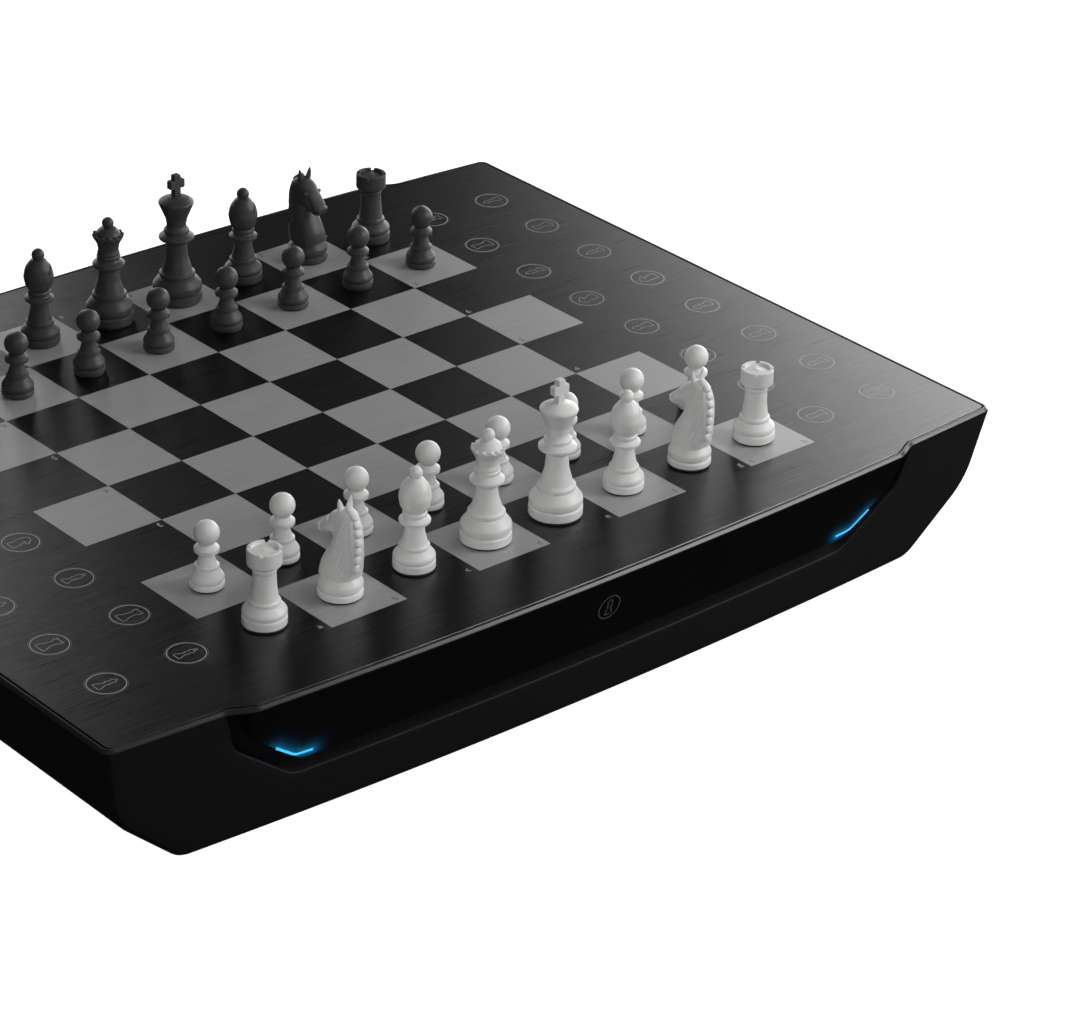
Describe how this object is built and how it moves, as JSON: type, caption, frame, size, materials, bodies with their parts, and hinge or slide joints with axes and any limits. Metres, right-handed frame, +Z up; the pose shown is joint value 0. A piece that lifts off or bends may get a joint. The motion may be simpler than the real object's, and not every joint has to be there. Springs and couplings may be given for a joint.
{
  "type": "electronic chess board",
  "caption": "Self-moving electronic chess board: boat-shaped black casing, brushed metal playing plate, lit front panel, and a full set of chess pieces lifted off by hand.",
  "frame": {"origin": "on the table under the middle of the board", "axes": "+Z up; +X along the long side, from the a-file to the h-file; +Y from the white side to the black side"},
  "size_m": [0.478, 0.377, 0.1303],
  "materials": {
    "casing_plastic": "fine spark-eroded texture, matt black",
    "frame_plastic": "satin dark grey bevelled rim",
    "plate_metal": "brushed along the long side, anodised anthracite, light squares printed",
    "gloss_panel": "piano black",
    "status_light": "clear blue light guide, lit",
    "circuit_board": "green solder mask",
    "battery_wrap": "shrink wrap",
    "steel": "ground",
    "button_plastic": "satin",
    "foot_rubber": "matt",
    "gantry_plastic": "moulded",
    "bronze": "sintered bronze",
    "coil_copper": "enamelled copper on a steel core",
    "motor_black": "black",
    "pulley_aluminium": "turned",
    "belt_rubber": "toothed timing belt",
    "piece_white": "satin off-white",
    "piece_black": "satin dark grey"
  },
  "bodies": {
    "board": {"bottom_casing": "casing_plastic", "top_frame": "frame_plastic", "playing_plate": "plate_metal", "sensor_board": "circuit_board", "front_panel": "gloss_panel", "rear_panel": "gloss_panel", "light_guides": "status_light", "circuit_boards": "circuit_board", "battery_pack": "battery_wrap", "charge_inlet": "steel", "rubber_feet": "foot_rubber", "casing_screws": "steel", "x_rails": "steel", "x_motor": "motor_black", "x_belt": "belt_rubber"},
    "bridge": {"bridge_blocks": "gantry_plastic", "bridge_rods": "steel", "bridge_bushes": "bronze", "y_motor": "motor_black", "y_belt": "belt_rubber"},
    "carriage": {"carriage": "gantry_plastic", "electromagnet": "coil_copper"},
    "x_drive_pulley": {"x_drive_pulley": "pulley_aluminium"},
    "x_idler_left": {"x_idler_left": "pulley_aluminium"},
    "x_idler_right": {"x_idler_right": "pulley_aluminium"},
    "y_drive_pulley": {"y_drive_pulley": "pulley_aluminium"},
    "y_idler_pulley": {"y_idler_pulley": "pulley_aluminium"},
    "power_button": {"power_button": "button_plastic"},
    "white_rook_a": {"white_rook_a": "piece_white"},
    "white_knight_b": {"white_knight_b": "piece_white"},
    "white_bishop_c": {"white_bishop_c": "piece_white"},
    "white_queen_d": {"white_queen_d": "piece_white"},
    "white_king_e": {"white_king_e": "piece_white"},
    "white_bishop_f": {"white_bishop_f": "piece_white"},
    "white_knight_g": {"white_knight_g": "piece_white"},
    "white_rook_h": {"white_rook_h": "piece_white"},
    "white_pawn_a": {"white_pawn_a": "piece_white"},
    "white_pawn_b": {"white_pawn_b": "piece_white"},
    "white_pawn_c": {"white_pawn_c": "piece_white"},
    "white_pawn_d": {"white_pawn_d": "piece_white"},
    "white_pawn_e": {"white_pawn_e": "piece_white"},
    "white_pawn_f": {"white_pawn_f": "piece_white"},
    "white_pawn_g": {"white_pawn_g": "piece_white"},
    "white_pawn_h": {"white_pawn_h": "piece_white"},
    "black_rook_a": {"black_rook_a": "piece_black"},
    "black_knight_b": {"black_knight_b": "piece_black"},
    "black_bishop_c": {"black_bishop_c": "piece_black"},
    "black_queen_d": {"black_queen_d": "piece_black"},
    "black_king_e": {"black_king_e": "piece_black"},
    "black_bishop_f": {"black_bishop_f": "piece_black"},
    "black_knight_g": {"black_knight_g": "piece_black"},
    "black_rook_h": {"black_rook_h": "piece_black"},
    "black_pawn_a": {"black_pawn_a": "piece_black"},
    "black_pawn_b": {"black_pawn_b": "piece_black"},
    "black_pawn_c": {"black_pawn_c": "piece_black"},
    "black_pawn_d": {"black_pawn_d": "piece_black"},
    "black_pawn_e": {"black_pawn_e": "piece_black"},
    "black_pawn_f": {"black_pawn_f": "piece_black"},
    "black_pawn_g": {"black_pawn_g": "piece_black"},
    "black_pawn_h": {"black_pawn_h": "piece_black"}
  },
  "joints": [
    {"name": "bridge_slide", "type": "slide", "parent": "board", "child": "bridge", "axis": [1, 0, 0], "range_m": [-0.209, 0.209]},
    {"name": "carriage_slide", "type": "slide", "parent": "bridge", "child": "carriage", "axis": [0, 1, 0], "range_m": [-0.133, 0.133]},
    {"name": "x_drive_spin", "type": "hinge", "parent": "board", "child": "x_drive_pulley", "pos_m": [0.175, -0.134, 0.029], "axis": [0, 0, 1], "range_deg": [-2100, 2100]},
    {"name": "x_idler_left_spin", "type": "hinge", "parent": "board", "child": "x_idler_left", "pos_m": [-0.214, -0.1445, 0.029], "axis": [0, 0, 1], "range_deg": [-2100, 2100]},
    {"name": "x_idler_right_spin", "type": "hinge", "parent": "board", "child": "x_idler_right", "pos_m": [0.214, -0.1445, 0.029], "axis": [0, 0, 1], "range_deg": [-2100, 2100]},
    {"name": "y_drive_spin", "type": "hinge", "parent": "bridge", "child": "y_drive_pulley", "pos_m": [0, 0.142, 0.039], "axis": [0, 0, 1], "range_deg": [-2000, 2000]},
    {"name": "y_idler_spin", "type": "hinge", "parent": "bridge", "child": "y_idler_pulley", "pos_m": [0, -0.142, 0.039], "axis": [0, 0, 1], "range_deg": [-2000, 2000]},
    {"name": "power_press", "type": "slide", "parent": "board", "child": "power_button", "axis": [0, -1, 0], "range_m": [0, 0.0012], "stiffness_N_per_m": 800, "springref_m": -0.0006},
    {"name": "white_rook_a_lift", "type": "slide", "parent": "board", "child": "white_rook_a", "axis": [0, 0, 1], "range_m": [0, 0.08]},
    {"name": "white_knight_b_lift", "type": "slide", "parent": "board", "child": "white_knight_b", "axis": [0, 0, 1], "range_m": [0, 0.08]},
    {"name": "white_bishop_c_lift", "type": "slide", "parent": "board", "child": "white_bishop_c", "axis": [0, 0, 1], "range_m": [0, 0.08]},
    {"name": "white_queen_d_lift", "type": "slide", "parent": "board", "child": "white_queen_d", "axis": [0, 0, 1], "range_m": [0, 0.08]},
    {"name": "white_king_e_lift", "type": "slide", "parent": "board", "child": "white_king_e", "axis": [0, 0, 1], "range_m": [0, 0.08]},
    {"name": "white_bishop_f_lift", "type": "slide", "parent": "board", "child": "white_bishop_f", "axis": [0, 0, 1], "range_m": [0, 0.08]},
    {"name": "white_knight_g_lift", "type": "slide", "parent": "board", "child": "white_knight_g", "axis": [0, 0, 1], "range_m": [0, 0.08]},
    {"name": "white_rook_h_lift", "type": "slide", "parent": "board", "child": "white_rook_h", "axis": [0, 0, 1], "range_m": [0, 0.08]},
    {"name": "white_pawn_a_lift", "type": "slide", "parent": "board", "child": "white_pawn_a", "axis": [0, 0, 1], "range_m": [0, 0.08]},
    {"name": "white_pawn_b_lift", "type": "slide", "parent": "board", "child": "white_pawn_b", "axis": [0, 0, 1], "range_m": [0, 0.08]},
    {"name": "white_pawn_c_lift", "type": "slide", "parent": "board", "child": "white_pawn_c", "axis": [0, 0, 1], "range_m": [0, 0.08]},
    {"name": "white_pawn_d_lift", "type": "slide", "parent": "board", "child": "white_pawn_d", "axis": [0, 0, 1], "range_m": [0, 0.08]},
    {"name": "white_pawn_e_lift", "type": "slide", "parent": "board", "child": "white_pawn_e", "axis": [0, 0, 1], "range_m": [0, 0.08]},
    {"name": "white_pawn_f_lift", "type": "slide", "parent": "board", "child": "white_pawn_f", "axis": [0, 0, 1], "range_m": [0, 0.08]},
    {"name": "white_pawn_g_lift", "type": "slide", "parent": "board", "child": "white_pawn_g", "axis": [0, 0, 1], "range_m": [0, 0.08]},
    {"name": "white_pawn_h_lift", "type": "slide", "parent": "board", "child": "white_pawn_h", "axis": [0, 0, 1], "range_m": [0, 0.08]},
    {"name": "black_rook_a_lift", "type": "slide", "parent": "board", "child": "black_rook_a", "axis": [0, 0, 1], "range_m": [0, 0.08]},
    {"name": "black_knight_b_lift", "type": "slide", "parent": "board", "child": "black_knight_b", "axis": [0, 0, 1], "range_m": [0, 0.08]},
    {"name": "black_bishop_c_lift", "type": "slide", "parent": "board", "child": "black_bishop_c", "axis": [0, 0, 1], "range_m": [0, 0.08]},
    {"name": "black_queen_d_lift", "type": "slide", "parent": "board", "child": "black_queen_d", "axis": [0, 0, 1], "range_m": [0, 0.08]},
    {"name": "black_king_e_lift", "type": "slide", "parent": "board", "child": "black_king_e", "axis": [0, 0, 1], "range_m": [0, 0.08]},
    {"name": "black_bishop_f_lift", "type": "slide", "parent": "board", "child": "black_bishop_f", "axis": [0, 0, 1], "range_m": [0, 0.08]},
    {"name": "black_knight_g_lift", "type": "slide", "parent": "board", "child": "black_knight_g", "axis": [0, 0, 1], "range_m": [0, 0.08]},
    {"name": "black_rook_h_lift", "type": "slide", "parent": "board", "child": "black_rook_h", "axis": [0, 0, 1], "range_m": [0, 0.08]},
    {"name": "black_pawn_a_lift", "type": "slide", "parent": "board", "child": "black_pawn_a", "axis": [0, 0, 1], "range_m": [0, 0.08]},
    {"name": "black_pawn_b_lift", "type": "slide", "parent": "board", "child": "black_pawn_b", "axis": [0, 0, 1], "range_m": [0, 0.08]},
    {"name": "black_pawn_c_lift", "type": "slide", "parent": "board", "child": "black_pawn_c", "axis": [0, 0, 1], "range_m": [0, 0.08]},
    {"name": "black_pawn_d_lift", "type": "slide", "parent": "board", "child": "black_pawn_d", "axis": [0, 0, 1], "range_m": [0, 0.08]},
    {"name": "black_pawn_e_lift", "type": "slide", "parent": "board", "child": "black_pawn_e", "axis": [0, 0, 1], "range_m": [0, 0.08]},
    {"name": "black_pawn_f_lift", "type": "slide", "parent": "board", "child": "black_pawn_f", "axis": [0, 0, 1], "range_m": [0, 0.08]},
    {"name": "black_pawn_g_lift", "type": "slide", "parent": "board", "child": "black_pawn_g", "axis": [0, 0, 1], "range_m": [0, 0.08]},
    {"name": "black_pawn_h_lift", "type": "slide", "parent": "board", "child": "black_pawn_h", "axis": [0, 0, 1], "range_m": [0, 0.08]}
  ],
  "couplings": [
    {"joint": "x_drive_spin", "follows": "bridge_slide", "rad_per_m": 166.67},
    {"joint": "x_idler_left_spin", "follows": "bridge_slide", "rad_per_m": 166.67},
    {"joint": "x_idler_right_spin", "follows": "bridge_slide", "rad_per_m": 166.67},
    {"joint": "y_drive_spin", "follows": "carriage_slide", "rad_per_m": 250},
    {"joint": "y_idler_spin", "follows": "carriage_slide", "rad_per_m": 250}
  ]
}
